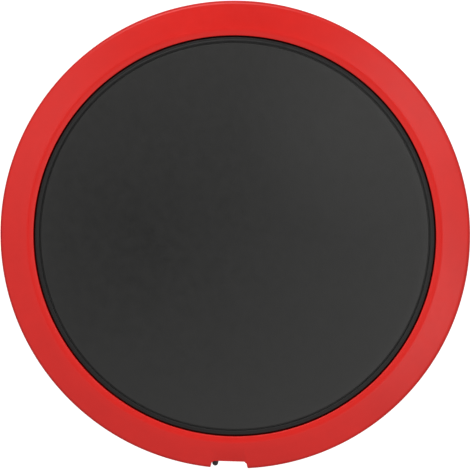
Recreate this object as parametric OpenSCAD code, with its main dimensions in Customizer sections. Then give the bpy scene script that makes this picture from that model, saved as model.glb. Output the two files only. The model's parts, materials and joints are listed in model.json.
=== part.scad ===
// Electronic drum pad: a rubber playing head in a plastic rim, on a moulded housing that holds the
// piezo sensor, the output jack and a clamp for a rack rod.
// Origin: centre of the footprint, on the surface that the feet stand on. +Z is up, -Y points to
// the jack and the notch of the rim, +Y to the rack rod.

/* [Rim] */
// Outside diameter of the rim
outer_d = 230; // [229:0.5:234]
// Height from the feet to the crest of the rim
height = 50; // [50:0.5:53]
// Diameter of the opening that the head sits in
rim_opening_d = 196.6; // [196.2:0.1:197.2]
// Diameter of the crest, where the rim is highest
crest_d = 202; // [201:0.2:204]
// Slope of the rim from its crest down to its outer edge, in degrees
rim_slope = 14; // [13:0.5:16]
// Radius of the rim's outer edge
rim_edge_r = 2.5; // [1.5:0.1:2.8]
// Thickness of the rim's shell
rim_wall = 2.5; // [2:0.1:2.8]
// How far the skirt draws in at its foot
skirt_draft = 2.4; // [2:0.1:2.8]
// Height of the skirt's foot
skirt_z = 24.5; // [24:0.5:28]
// Distance from the centre to the flat of the notch
notch_flat_y = 110.7; // [110.5:0.1:111.2]
// Width of the notch at its flat
notch_flat_w = 14.8; // [14.2:0.2:15]
// Width of the notch before its mouth's rounding
notch_open_w = 17.8; // [17.6:0.2:18.4]

/* [Head] */
// Diameter of the rubber head
head_d = 195; // [194.6:0.1:195.4]
// Thickness of the rubber above the striker plate
rubber_t = 3.5; // [3:0.1:4]
// How far the head lies below the crest
head_drop = 0.7; // [0.5:0.1:1]
// Centre diameter of the groove near the edge
groove_d = 189.6; // [189:0.1:190]
// Width of the groove
groove_w = 0.9; // [0.6:0.1:1.2]
// Depth of the groove
groove_depth = 1.0; // [0.4:0.1:1.2]
// Diameter of the steel striker plate
plate_d = 190.6; // [189:0.1:191]
// Thickness of the striker plate
plate_t = 1.2; // [1:0.1:1.5]
// Height of the foam ring that carries the head
foam_h = 4.6; // [4:0.1:5]
// Diameter of the piezo element
piezo_d = 27; // [20:1:27]

/* [Housing] */
// Wall thickness of the housing
wall = 2.5; // [2:0.1:2.8]
// Diameter of the flange that the rim is screwed to
flange_d = 221; // [219:0.5:222]
// Outside diameter of the inner tub
tub_d = 168; // [164:0.5:168]
// Outside diameter of the outer wall, at the flange
outer_wall_d = 199; // [198:0.5:199]
// How far the outer wall draws in at its foot
wall_draft = 2; // [1:0.1:3]
// Height of the underside of the base plate
floor_z = 2.5; // [2:0.1:2.5]
// Number of stiffening ribs
rib_count = 16; // [16]
// Diameter of the rubber feet
foot_d = 12; // [10:0.5:14]

/* [Rod clamp] */
// Diameter of the bore for the rack rod
rod_bore_d = 10.8; // [10.6:0.1:11]
// Height of the rod's axis
rod_z = 17; // [16:0.5:17]
// Length of the clamp along the rod
clamp_l = 40; // [36:1:42]
// Thread diameter of the wing bolt
stud_d = 5.9; // [5.9]
// Largest radius of the wings
wing_r = 13; // [11:0.5:13]

/* [Jack] */
// Diameter of the plug's bore
plug_bore_d = 6.5; // [6.4:0.05:6.6]
// Height of the jack's axis
jack_z = 29.5; // [29:0.1:29.8]
// Outside diameter of the jack's threaded ferrule
ferrule_d = 9.2; // [8.8:0.1:9.4]

/* [Hidden] */

$fn = 128;
eps = 0.02;            // overlap of cutters with open faces, and slip of a thread in its hole

// Levels, from the crest down
outer_r = outer_d / 2;
crest_r = crest_d / 2;
opening_r = rim_opening_d / 2;
head_top = height - head_drop;
plate_top = head_top - rubber_t;
plate_z = plate_top - plate_t;
shelf_z = plate_z - foam_h;
flange_z = shelf_z - wall;
floor_top = floor_z + wall;

// Rim shell
edge_z = height - (outer_r - rim_edge_r + rim_edge_r * sin(rim_slope) - crest_r) * tan(rim_slope)
    - rim_edge_r * cos(rim_slope);
inner_wall_t = 2.2;    // upright wall around the head
lip_r = 0.6;           // fillet on the lip next to the head
band_in_r = opening_r + 1.2;
band_drop = 0.4;       // the band between crest and lip leans in by this
boss_r = 3.5;
boss_ring_r = 106.5;   // circle of the bezel screws
boss_count = 8;
screw_r = 1.7;
screw_head = [3.4, 2.2]; // radius and height of a bezel screw's head
screw_bite = 5.5;      // how far a housing screw reaches beyond the wall it holds
boss_top = rim_under(boss_ring_r - boss_r) + 0.1;
arch_w = 18.4;         // opening in the notch's wall for the plug and the cord finger
arch_depth = 4;
arch_top = shelf_z + 1;
flange_gap = [28, 3.2]; // gap in the flange behind the notch, across and along
notch_corner = [1.2, 1]; // slant at each end of the notch's flat, across and along
notch_flare = [1.1, 1];  // rounding of the notch's mouth, across and along
notch_wall_t = 2.2;

// Head
rubber_lip_in = plate_d / 2 - 2.3;
rubber_lip_z = plate_z - 0.8;
rubber_edge_r = 0.6;
foam_in = tub_d / 2 + 0.5;
foam_out = rubber_lip_in - 1;
tape_t = 1.5;
brass_t = 0.35;
ceramic_t = 0.3;
brass_z = plate_z - tape_t - brass_t;
ceramic_z = brass_z - ceramic_t;
dot_r = 1.3;
dot_places = [[-7, -9, brass_z], [-3, -6, ceramic_z]];
lead_r = 0.6;
lead_sides = 8;
lead_steps = 6;        // rings between two route points

// Housing
tub_r = tub_d / 2;
outer_wall_r = outer_wall_d / 2;
outer_wall_foot_z = floor_z + 1.5;
rib_t = 2;
rib_z = 8;
pocket_x = [-18, 54];  // hand recess around the clamp and its wing bolt
pocket_y = [-10, 44];
pocket_roof = 33;
pocket_corner_r = 5;
mark_ring_r = 64;      // turned groove in the floor's underside
mark_ring_w = 1.2;
mark_depth = 0.5;
label_size = [46, 24];
label_pos = [0, -36];
fit_gap = 0.1;         // slip between mouldings that fit into each other
plate_screw_ring_r = 79.3;
plate_screw_count = 6;
plate_screw_r = 1.5;
plate_screw_head = [2.9, 1.6];
plate_boss_r = 3.3;
plate_boss_h = 8;
channel_w = 18;        // channel that the rod comes in through
channel_roof = 26.5;
jack_box_w = 18;
jack_box_z = 18.5;
panel_y = -96.5;       // inner face of the jack panel
panel_t = 3;
foot_ring_r = 76;
foot_angles = [52, 128, 232, 308];
foot_recess = 1;
finger_w = 2.9;        // cord finger beside the jack
finger_x = -7.1;
finger_tip_y = -114.4;
finger_hook_z = 33;

// Where the jack box's shelf ends, just inside the tub wall's face
shelf_end = tub_r - 0.6;

// Board
board_pos = [-34, -42];
board_size = [36, 28, 1.6];
board_z = 11;
board_hole = [15, 11]; // the screws' distance from the board's centre
standoff_r = 3;
board_screw_r = 1.2;
board_screw_head = [2.3, 1.5];
board_screw_bite = 4;
board_top = board_z + board_size[2];
connector_size = [10, 6, 6];
connector_pos = [board_pos[0] + 2, board_pos[1] + 9];
connector_pitch = 4;
cap_r = 4;
cap_h = 9;

// Clamp
rod_r = rod_bore_d / 2;
block_x = [-15, 17];
block_chamfer = 6;
block_z = 7;
bolt_y = clamp_l / 2;
shoe_r = 3.9;
shoe_x = rod_r + 0.4;
shoe_t = 3;
shoe_well_x = 9.4;
pin_r = 1.5;
stud_r = stud_d / 2;
nut_x = 10.5;
nut_t = 5;
nut_r = 5.7;
hub_r = 6.5;
hub_x = 19.2;
hub_end = 33;
wing_end = 42;
clamp_screw_places = [for (x = [-11, 11]) for (y = [7, clamp_l - 7]) [x, y]];
clamp_screw_r = 1.9;
clamp_screw_head = [3.8, 2.2];
clamp_screw_bite = 11;

// Jack
jack_body_w = 15;
jack_body_h = 15;
jack_body_back = -74;
ferrule_r = ferrule_d / 2;
ferrule_seat = 3.5;
socket_r = 4.2;        // room behind the ferrule for the plug
ferrule_end = panel_y - panel_t - 4;
washer_r = 6.8;
washer_t = 0.3;
jack_nut_r = 6.6;
jack_nut_t = 2.2;
contact_t = 0.5;
contact_w = 3;
contact_seat_w = contact_w + 1.4; // width of a contact where it sits in the body
sleeve_contact_z = jack_z - 6.65;
lug_back = -69;
tip_pivot_y = -80.3;   // the tip spring bends about a line here
tip_pivot_z = jack_z + 5.75;

// Lead routes, end to end
connector_top = board_top + connector_size[2];
red_end = [connector_pos[0] - connector_pitch / 2, connector_pos[1], connector_top];
black_end = [connector_pos[0] + connector_pitch / 2, connector_pos[1], connector_top];
lead_gap = 0.65;       // room for the slanting end of a lead below its solder dot
hole_depth = 1.5;
lead_hole_gap = 0.15;
red_route = [
    dot_places[1] - [0, 0, dot_r + lead_gap],
    [-4, -11, 38.5], [-12, -19, 31], [-24, -28, 27],
    red_end + [0, 0, 3], red_end - [0, 0, hole_depth]
];
black_route = [
    dot_places[0] - [0, 0, dot_r + lead_gap],
    [-9, -13, 38], [-15, -20, 29], [-24, -30, 24],
    black_end + [0, 0, 3], black_end - [0, 0, hole_depth]
];
solder_dip = 0.4;      // how far a soldered end reaches into its lug or board
tip_route = [
    [0, lug_back - solder_dip, tip_pivot_z], [0, -62, 35], [-9, -55, 26], [-18, -50, 17],
    [-20, -48, board_top - solder_dip]
];
sleeve_route = [
    [0, lug_back - solder_dip, sleeve_contact_z], [-3, -63, 22], [-12, -57, 18], [-22, -54, 16],
    [-24, -52, board_top - solder_dip]
];

// Underside of the rim's sloping top at a radius
function rim_under(r) =
    height - (r - crest_r) * tan(rim_slope) - rim_wall / cos(rim_slope);

// Points on an arc of radius r about [x, y], from angle a to angle b
function arc(x, y, r, a, b, n = 6) =
    [for (i = [0 : n]) let (t = a + (b - a) * i / n) [x + r * cos(t), y + r * sin(t)]];

function unit(v) = v / norm(v);

// A point of the smooth curve through p1 and p2
function spline(p0, p1, p2, p3, t) =
    0.5 * (2 * p1 + (p2 - p0) * t + (2 * p0 - 5 * p1 + 4 * p2 - p3) * t * t
    + (3 * p1 - p0 - 3 * p2 + p3) * t * t * t);

// All the points of the smooth curve along a route
function curve(route, n) = let (last = len(route) - 1) [
    for (i = [0 : last - 1]) for (k = [0 : n - 1])
        spline(route[max(i - 1, 0)], route[i], route[i + 1], route[min(i + 2, last)], k / n),
    route[last]
];

// A round tube along a route. "across" is a direction that the route never runs in.
module tube(route, r, across, sides = lead_sides) {
    path = curve(route, lead_steps);
    last = len(path) - 1;
    points = [
        for (i = [0 : last])
            let (
                along = unit(path[min(i + 1, last)] - path[max(i - 1, 0)]),
                s = unit(cross(along, across)),
                u = cross(along, s)
            )
            for (k = [0 : sides - 1])
                path[i] + r * (cos(360 * k / sides) * s + sin(360 * k / sides) * u)
    ];
    walls = [
        for (i = [0 : last - 1]) for (k = [0 : sides - 1])
            let (a = i * sides + k, b = i * sides + (k + 1) % sides)
            for (face = [[a, a + sides, b], [b, a + sides, b + sides]]) face
    ];
    start = [for (k = [0 : sides - 1]) k];
    end = [for (k = [sides - 1 : -1 : 0]) last * sides + k];
    polyhedron(points, concat([start], walls, [end]));
}

module box(x, y, z) {
    translate([x[0], y[0], z[0]])
        cube([x[1] - x[0], y[1] - y[0], z[1] - z[0]]);
}

// A box with upright edges rounded to radius r
module round_box(x, y, z, r) {
    box([x[0] + r, x[1] - r], y, z);
    box(x, [y[0] + r, y[1] - r], z);
    for (cx = [x[0] + r, x[1] - r]) for (cy = [y[0] + r, y[1] - r])
        translate([cx, cy, z[0]])
            cylinder(r = r, h = z[1] - z[0], $fn = 48);
}

// Cylinder along +X from x1 to x2
module bar_x(r, x1, x2, y, z, sides = $fn) {
    translate([x1, y, z])
        rotate([0, 90, 0])
            cylinder(r = r, h = x2 - x1, $fn = sides);
}

// Cylinder along +Y from y1 to y2
module bar_y(r, y1, y2, x, z, sides = $fn) {
    translate([x, y1, z])
        rotate([-90, 0, 0])
            cylinder(r = r, h = y2 - y1, $fn = sides);
}

module on_ring(r, angles) {
    for (a = angles)
        rotate(a)
            translate([r, 0, 0])
                children();
}

// Pan-head screw: the head's flat underside at z = 0, the head above it, the shank below
module pan_screw(r, length, head_r, head_h) {
    slot_w = head_r * 0.3;
    translate([0, 0, -length])
        cylinder(r = r, h = length + eps, $fn = 48);
    difference() {
        rotate_extrude($fn = 64)
            polygon(concat(
                [[0, 0], [head_r, 0]],
                arc(head_r * 0.45, 0, head_r * 0.55, 0, 90),
                [[head_r * 0.45, head_h], [0, head_h]]
            ));
        for (a = [0, 90])
            rotate(a)
                translate([-head_r * 0.55, -slot_w / 2, head_h * 0.4])
                    cube([head_r * 1.1, slot_w, head_h]);
    }
}

// ---- rim ----

module rim_profile() {
    polygon(concat(
        [[outer_r - skirt_draft, skirt_z]],
        arc(outer_r - rim_edge_r, edge_z, rim_edge_r, 0, 90 - rim_slope),
        [[crest_r, height], [band_in_r, height - band_drop]],
        arc(opening_r + lip_r, height - band_drop - lip_r - 0.1, lip_r, 90, 180),
        [
            [opening_r, shelf_z],
            [opening_r + inner_wall_t, shelf_z],
            [opening_r + inner_wall_t, rim_under(crest_r)],
            [outer_r - rim_wall - 1.5, rim_under(outer_r - rim_wall - 1.5)],
            [outer_r - rim_wall, edge_z - 0.8],
            [outer_r - rim_wall - skirt_draft, skirt_z]
        ]
    ));
}

// Everything under the rim's outer surface, to trim the wall behind the notch
module rim_envelope() {
    rotate_extrude()
        polygon(concat(
            [[crest_r, skirt_z], [outer_r - skirt_draft, skirt_z]],
            arc(outer_r - rim_edge_r, edge_z, rim_edge_r, 0, 90 - rim_slope),
            [[crest_r, height]]
        ));
}

// Plan of the notch, grown inwards by t
module notch_plan(t) {
    flat = notch_flat_w / 2 + t;
    open = notch_open_w / 2 + t;
    y = t - notch_flat_y;
    half = [
        [flat, y],
        [flat + notch_corner[0], y - notch_corner[1]],
        [open, notch_flare[1] - outer_r],
        [open + notch_flare[0], -outer_r],
        [open + notch_flare[0], -outer_r - 5]
    ];
    polygon(concat(half, [for (i = [len(half) - 1 : -1 : 0]) [-half[i][0], half[i][1]]]));
}

module rim_bezel() {
    color("firebrick")
        difference() {
            union() {
                rotate_extrude($fn = 256)
                    rim_profile();
                intersection() {
                    linear_extrude(height)
                        notch_plan(notch_wall_t);
                    rim_envelope();
                }
                on_ring(boss_ring_r, boss_angles())
                    translate([0, 0, shelf_z])
                        cylinder(r = boss_r, h = boss_top - shelf_z, $fn = 48);
            }
            translate([0, 0, -1])
                linear_extrude(height + 2)
                    notch_plan(0);
            box([-arch_w / 2, arch_w / 2], [-outer_r - 1, -notch_flat_y + arch_depth], [skirt_z - 1, arch_top]);
            on_ring(boss_ring_r, boss_angles())
                translate([0, 0, shelf_z - 1])
                    cylinder(r = screw_r + eps, h = boss_top - shelf_z - 0.2 + 1, $fn = 48);
        }
}

function boss_angles() = [for (i = [0 : boss_count - 1]) (i + 0.5) * 360 / boss_count];

module bezel_screws() {
    color("dimgray")
        on_ring(boss_ring_r, boss_angles())
            translate([0, 0, flange_z])
                mirror([0, 0, 1])
                    pan_screw(screw_r, wall + screw_bite, screw_head[0], screw_head[1]);
}

// ---- housing ----

module housing_profile() {
    polygon([
        [tub_r - wall, floor_top], [tub_r, floor_top], [tub_r, flange_z],
        [outer_wall_r - wall, flange_z],
        [outer_wall_r - wall_draft - wall, outer_wall_foot_z],
        [outer_wall_r - wall_draft, outer_wall_foot_z],
        [outer_wall_r, flange_z],
        [flange_d / 2, flange_z], [flange_d / 2, shelf_z],
        [tub_r - wall, shelf_z]
    ]);
}

// Everything from height z up to the flange that lies t or more inside the outer wall's face
module inside_outer_wall(z, t) {
    lean = wall_draft / (flange_z - outer_wall_foot_z);
    rotate_extrude()
        polygon([
            [0, z], [outer_wall_r - t - lean * (flange_z - z), z],
            [outer_wall_r - t, flange_z + eps], [0, flange_z + eps]
        ]);
}

module ribs() {
    intersection() {
        inside_outer_wall(rib_z, wall / 2);
        on_ring(tub_r - wall / 2, [for (i = [0 : rib_count - 1]) (i + 0.5) * 360 / rib_count])
            translate([0, -rib_t / 2, rib_z])
                cube([30, rib_t, flange_z - rib_z + eps]);
    }
}

// The hand recess and the rod's channel, grown by t and deeper by "below"
module recess_space(t, below = 0) {
    round_box([pocket_x[0] - t, pocket_x[1] + t], [pocket_y[0] - t, pocket_y[1] + t],
        [floor_z - below, pocket_roof + t], pocket_corner_r + t);
    box([-channel_w / 2 - t, channel_w / 2 + t], [0, outer_wall_r],
        [floor_z - below, channel_roof + t]);
}

// Ways through the walls for the rod's channel, the rod and the jack
module wall_ways() {
    channel = channel_w / 2 + wall + fit_gap;
    box([-channel, channel], [tub_r - 12, tub_r + 2], [floor_z, channel_roof + wall + fit_gap]);
    box([-channel_w / 2, channel_w / 2], [tub_r + 2, outer_wall_r + 1], [floor_z, channel_roof]);
    box([-jack_box_w / 2, jack_box_w / 2], [-tub_r - 2, -tub_r + wall + 1],
        [jack_box_z + wall, flange_z]);
    box([-jack_box_w / 2, jack_box_w / 2], [panel_y - panel_t - 1, -shelf_end], [floor_z, flange_z]);
}

function plate_screw_angles() = [for (i = [0 : plate_screw_count - 1]) i * 360 / plate_screw_count];

module bottom_housing() {
    color("#202022")
        difference() {
            union() {
                rotate_extrude($fn = 256)
                    housing_profile();
                ribs();
                box([-jack_box_w / 2 - wall, jack_box_w / 2 + wall], [panel_y - panel_t, -tub_r + wall],
                    [jack_box_z, flange_z + eps]);
                on_ring(plate_screw_ring_r, plate_screw_angles())
                    translate([0, 0, floor_top + fit_gap])
                        cylinder(r = plate_boss_r, h = plate_boss_h, $fn = 48);
            }
            wall_ways();
            box([-flange_gap[0] / 2, flange_gap[0] / 2], [-outer_r, -notch_flat_y + flange_gap[1]],
                [flange_z - 1, shelf_z + 1]);
            on_ring(boss_ring_r, boss_angles())
                translate([0, 0, flange_z - 1])
                    cylinder(r = screw_r + 0.25, h = wall + 2, $fn = 48);
            on_ring(plate_screw_ring_r, plate_screw_angles())
                translate([0, 0, floor_top - 1])
                    cylinder(r = plate_screw_r + eps, h = plate_boss_h, $fn = 48);
        }
}

// Shallow shapes in the base plate's underside: a turned groove and a blank panel for a rating label
module floor_marks() {
    rotate_extrude($fn = 256)
        translate([mark_ring_r, floor_z - 1])
            square([mark_ring_w, 1 + mark_depth]);
    round_box([label_pos[0] - label_size[0] / 2, label_pos[0] + label_size[0] / 2],
        [label_pos[1] - label_size[1] / 2, label_pos[1] + label_size[1] / 2],
        [floor_z - 1, floor_z + mark_depth], 2);
}

module at_board_holes(z) {
    for (x = [-1, 1]) for (y = [-1, 1])
        translate([board_pos[0] + x * board_hole[0], board_pos[1] + y * board_hole[1], z])
            children();
}

module base_plate() {
    color("#202022")
        difference() {
            union() {
                translate([0, 0, floor_z])
                    cylinder(r = tub_r, h = wall, $fn = 256);
                at_board_holes(floor_top - eps)
                    cylinder(r = standoff_r, h = board_z - floor_top + eps, $fn = 48);
            }
            recess_space(wall + fit_gap, 1);
            floor_marks();
            at_board_holes(floor_top + 1)
                cylinder(r = board_screw_r + eps, h = board_z, $fn = 48);
            on_ring(plate_screw_ring_r, plate_screw_angles())
                translate([0, 0, floor_z - 1])
                    cylinder(r = plate_screw_r + 0.2, h = wall + 2, $fn = 48);
            on_ring(foot_ring_r, foot_angles)
                translate([0, 0, floor_z - 1])
                    cylinder(r = foot_d / 2 + 0.05, h = 1 + foot_recess, $fn = 64);
        }
}

module base_plate_screws() {
    color("dimgray")
        on_ring(plate_screw_ring_r, plate_screw_angles())
            translate([0, 0, floor_z])
                mirror([0, 0, 1])
                    pan_screw(plate_screw_r, wall + screw_bite, plate_screw_head[0], plate_screw_head[1]);
}

// Moulded cup that the clamp hangs in, with the rod's channel. It's welded into the base plate.
module clamp_recess() {
    color("#202022")
        difference() {
            intersection() {
                recess_space(wall);
                inside_outer_wall(floor_z, wall + fit_gap);
            }
            recess_space(0, 1);
            for (p = clamp_screw_places)
                translate([p[0], p[1], pocket_roof - 1])
                    cylinder(r = clamp_screw_r + 0.2, h = wall + 2, $fn = 48);
        }
}

// Upright panel that holds the jack, with a shelf that closes the jack's box from below
module jack_panel() {
    half = jack_box_w / 2 - fit_gap;
    face = panel_y - panel_t;
    color("#202022")
        difference() {
            union() {
                box([-half, half], [face, panel_y], [outer_wall_foot_z, flange_z - fit_gap]);
                box([-half, half], [panel_y - eps, -shelf_end - fit_gap], [jack_box_z, jack_box_z + wall]);
            }
            bar_y(ferrule_r + 0.1, face - 1, panel_y + 1, 0, jack_z);
        }
}

// Finger with a hook that keeps the cord beside the jack. It's clipped to the housing's flange.
module cord_hook() {
    r = finger_w / 2;
    color("#202022")
        union() {
            box([finger_x - r, finger_x + r], [finger_tip_y + r, -notch_flat_y + flange_gap[1]],
                [flange_z, shelf_z]);
            translate([finger_x, finger_tip_y + r, finger_hook_z])
                cylinder(r = r, h = shelf_z - finger_hook_z);
        }
}

module foot(i) {
    r = foot_d / 2;
    color("#161616")
        on_ring(foot_ring_r, [foot_angles[i]])
            rotate_extrude($fn = 96)
                polygon([
                    [0, 0], [r - 1.2, 0], [r - 0.3, 0.4], [r, 1.2],
                    [r, floor_z + foot_recess], [0, floor_z + foot_recess]
                ]);
}

// ---- head ----

module rubber_head() {
    r = head_d / 2;
    g = groove_d / 2;
    color("#333331")
        rotate_extrude($fn = 256)
            polygon(concat(
                [[0, plate_top], [0, head_top], [g - groove_w / 2, head_top],
                [g - groove_w / 2, head_top - groove_depth],
                [g + groove_w / 2, head_top - groove_depth],
                [g + groove_w / 2, head_top]],
                arc(r - rubber_edge_r, head_top - rubber_edge_r, rubber_edge_r, 90, 0),
                [[r, rubber_lip_z + 0.4], [r - 0.4, rubber_lip_z], [rubber_lip_in, rubber_lip_z],
                [rubber_lip_in, plate_z], [plate_d / 2 + eps, plate_z],
                [plate_d / 2 + eps, plate_top]]
            ));
}

module striker_plate() {
    color("silver")
        translate([0, 0, plate_z])
            cylinder(r = plate_d / 2, h = plate_t, $fn = 256);
}

module foam_ring() {
    color("dimgray")
        rotate_extrude($fn = 256)
            translate([foam_in, shelf_z])
                square([foam_out - foam_in, foam_h]);
}

module piezo_foam_tape() {
    color("gainsboro")
        translate([0, 0, plate_z - tape_t])
            cylinder(r = piezo_d / 2 + 1.5, h = tape_t);
}

module piezo_brass_disc() {
    color("goldenrod")
        translate([0, 0, brass_z])
            cylinder(r = piezo_d / 2, h = brass_t);
}

module piezo_ceramic_disc() {
    color("ivory")
        translate([0, 0, ceramic_z])
            cylinder(r = piezo_d * 0.35, h = ceramic_t);
}

module piezo_solder_dots() {
    color("silver")
        for (p = dot_places)
            intersection() {
                translate(p)
                    sphere(r = dot_r, $fn = 32);
                translate(p - [dot_r * 2, dot_r * 2, dot_r * 4])
                    cube(dot_r * 4);
            }
}

module piezo_lead_red() {
    color("red")
        tube(red_route, lead_r, [0.8, -0.6, 0]);
}

module piezo_lead_black() {
    color("#222222")
        tube(black_route, lead_r, [0.8, -0.6, 0]);
}

// ---- board ----

module trigger_board() {
    color("darkgreen")
        difference() {
            translate([board_pos[0] - board_size[0] / 2, board_pos[1] - board_size[1] / 2, board_z])
                cube(board_size);
            at_board_holes(board_z - 1)
                cylinder(r = board_screw_r + 0.2, h = board_size[2] + 2, $fn = 48);
        }
}

module board_screws() {
    color("silver")
        at_board_holes(board_top)
            pan_screw(board_screw_r, board_size[2] + board_screw_bite, board_screw_head[0],
                board_screw_head[1]);
}

module board_connector() {
    color("ivory")
        difference() {
            translate([connector_pos[0] - connector_size[0] / 2, connector_pos[1] - connector_size[1] / 2,
                board_top])
                cube(connector_size);
            for (p = [red_end, black_end])
                translate(p - [0, 0, hole_depth + 0.5])
                    cylinder(r = lead_r + lead_hole_gap, h = hole_depth + 1, $fn = 32);
        }
}

module board_capacitor() {
    color("midnightblue")
        translate([board_pos[0] - 12, board_pos[1] - 2, board_top])
            rotate_extrude($fn = 64)
                polygon([
                    [0, 0], [cap_r - 0.3, 0], [cap_r, 0.4], [cap_r, 1.2], [cap_r - 0.35, 1.6], [cap_r, 2],
                    [cap_r, cap_h - 0.5], [cap_r - 0.5, cap_h], [0, cap_h]
                ]);
}

module resistor(length, r, lead) {
    span = length / 2 + 2;
    translate([-length / 2, 0, 0])
        rotate([0, 90, 0])
            cylinder(r = r, h = length, $fn = 48);
    translate([-span, 0, 0])
        rotate([0, 90, 0])
            cylinder(r = lead, h = 2 * span, $fn = 24);
    for (s = [-1, 1])
        translate([s * span, 0, -r - 0.1])
            cylinder(r = lead, h = r + 0.1 + lead, $fn = 24);
}

module board_resistors() {
    color("burlywood")
        for (i = [0 : 2])
            translate([board_pos[0] + 5, board_pos[1] - 7 + i * 4, board_top + 1.25])
                resistor(6.4, 1.15, 0.3);
}

module jack_lead_tip() {
    color("yellow")
        tube(tip_route, lead_r, [0.6, 0.8, 0]);
}

module jack_lead_sleeve() {
    color("#222222")
        tube(sleeve_route, lead_r, [0.6, 0.8, 0]);
}

// ---- jack ----

module jack_body() {
    low = jack_z - jack_body_h / 2;
    slot = contact_seat_w / 2;
    color("#1c1c1e")
        difference() {
            box([-jack_body_w / 2, jack_body_w / 2], [panel_y, jack_body_back], [low, low + jack_body_h]);
            bar_y(socket_r, panel_y - 1, jack_body_back - 3, 0, jack_z);
            bar_y(ferrule_r + eps, panel_y - 1, panel_y + ferrule_seat, 0, jack_z);
            box([-slot, slot], [panel_y + ferrule_seat + 1, jack_body_back + 1], [jack_z, low + jack_body_h + 1]);
            box([-slot, slot], [panel_y + ferrule_seat, jack_body_back + 1], [low - 1, jack_z]);
        }
}

module jack_ferrule() {
    color("silver")
        difference() {
            bar_y(ferrule_r, ferrule_end, panel_y + ferrule_seat, 0, jack_z);
            bar_y(plug_bore_d / 2, ferrule_end - 1, panel_y + ferrule_seat + 1, 0, jack_z);
        }
}

module jack_washer() {
    face = panel_y - panel_t;
    color("silver")
        difference() {
            bar_y(washer_r, face - washer_t, face, 0, jack_z);
            bar_y(ferrule_r + 0.1, face - 1, face + 1, 0, jack_z);
        }
}

module jack_nut() {
    face = panel_y - panel_t - washer_t;
    color("silver")
        difference() {
            bar_y(jack_nut_r, face - jack_nut_t, face, 0, jack_z, 6);
            bar_y(ferrule_r + eps, face - jack_nut_t - 1, face + 1, 0, jack_z);
        }
}

module lug_hole(z) {
    translate([0, lug_back - 1.6, z - 1])
        cylinder(r = 0.8, h = 2, $fn = 32);
}

module jack_tip_lug() {
    slot = contact_seat_w / 2;
    color("goldenrod")
        difference() {
            union() {
                box([-slot, slot], [tip_pivot_y + 0.3, jack_body_back],
                    [tip_pivot_z - contact_t / 2, tip_pivot_z + contact_t / 2]);
                box([-contact_w / 2, contact_w / 2], [jack_body_back - eps, lug_back],
                    [tip_pivot_z - contact_t / 2, tip_pivot_z + contact_t / 2]);
            }
            lug_hole(tip_pivot_z);
        }
}

// Leaf that presses on the plug's tip: level, then down to a blunt point, then up again
module jack_tip_spring() {
    t = contact_t;
    z = tip_pivot_z - t / 2;
    dip = jack_z + 2.5;
    point_y = tip_pivot_y - 6;
    color("goldenrod")
        translate([-contact_w / 2, 0, 0])
            rotate([90, 0, 90])
                linear_extrude(contact_w)
                    polygon([
                        [tip_pivot_y, z], [tip_pivot_y, z + t], [tip_pivot_y - 1.5, z + t],
                        [point_y, dip + t], [point_y - 2.4, dip + 1.6 + t],
                        [point_y - 2.6, dip + 1.6], [point_y, dip], [tip_pivot_y - 1.3, z]
                    ]);
}

module jack_sleeve_contact() {
    z = sleeve_contact_z;
    front = panel_y + ferrule_seat;
    slot = contact_seat_w / 2;
    color("goldenrod")
        difference() {
            union() {
                box([-slot, slot], [front, jack_body_back], [z - contact_t / 2, z + contact_t / 2]);
                box([-contact_w / 2, contact_w / 2], [jack_body_back - eps, lug_back],
                    [z - contact_t / 2, z + contact_t / 2]);
                box([-contact_w / 2, contact_w / 2], [front, front + contact_t], [z, jack_z - 3.6]);
            }
            lug_hole(z);
        }
}

// ---- clamp ----

module clamp_block() {
    c = block_chamfer;
    color("#26262a")
        difference() {
            translate([0, clamp_l, 0])
                rotate([90, 0, 0])
                    linear_extrude(clamp_l)
                        polygon([
                            [block_x[0], pocket_roof], [block_x[0], block_z + c], [block_x[0] + c, block_z],
                            [block_x[1] - c, block_z], [block_x[1], block_z + c], [block_x[1], pocket_roof]
                        ]);
            bar_y(rod_r, -1, clamp_l + 1, 0, rod_z);
            bar_x(shoe_r + 0.3, 0, shoe_well_x, bolt_y, rod_z);
            bar_x(stud_r + 0.25, 0, block_x[1] + 1, bolt_y, rod_z);
            box([nut_x - 0.05, nut_x + nut_t + 0.05], [bolt_y - nut_r - 0.05, bolt_y + nut_r + 0.05],
                [rod_z - nut_r - 0.05, pocket_roof + 1]);
            for (p = clamp_screw_places)
                translate([p[0], p[1], pocket_roof - 12])
                    cylinder(r = clamp_screw_r + eps, h = 13, $fn = 48);
        }
}

module clamp_block_screws() {
    color("silver")
        for (p = clamp_screw_places)
            translate([p[0], p[1], pocket_roof + wall])
                pan_screw(clamp_screw_r, wall + clamp_screw_bite, clamp_screw_head[0],
                    clamp_screw_head[1]);
}

module clamp_nut() {
    color("silver")
        difference() {
            bar_x(nut_r, nut_x, nut_x + nut_t, bolt_y, rod_z, 6);
            bar_x(stud_r + 0.05, nut_x - 1, nut_x + nut_t + 1, bolt_y, rod_z);
        }
}

module clamp_shoe() {
    color("#4a4a4e")
        difference() {
            bar_x(shoe_r, shoe_x, shoe_x + shoe_t, bolt_y, rod_z);
            bar_x(pin_r + 0.05, shoe_x + 0.9, shoe_x + shoe_t + 1, bolt_y, rod_z);
        }
}

module wing_bolt_stud() {
    color("silver") {
        bar_x(pin_r, shoe_x + 1.2, shoe_x + shoe_t + 0.4, bolt_y, rod_z);
        bar_x(stud_r, shoe_x + shoe_t + 0.3, hub_end - 3, bolt_y, rod_z);
    }
}

module wing_blade() {
    blade_t = 4.5;
    translate([0, blade_t / 2, 0])
        rotate([90, 0, 0])
            linear_extrude(blade_t)
                polygon(concat(
                    [[hub_x + 4, hub_r - 2], [hub_x + 9, wing_r - 3]],
                    arc(wing_end - 6, wing_r - 5, 5, 90, 0),
                    [[wing_end - 1.6, hub_r - 3], [hub_end - 1, hub_r - 4]]
                ));
}

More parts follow.
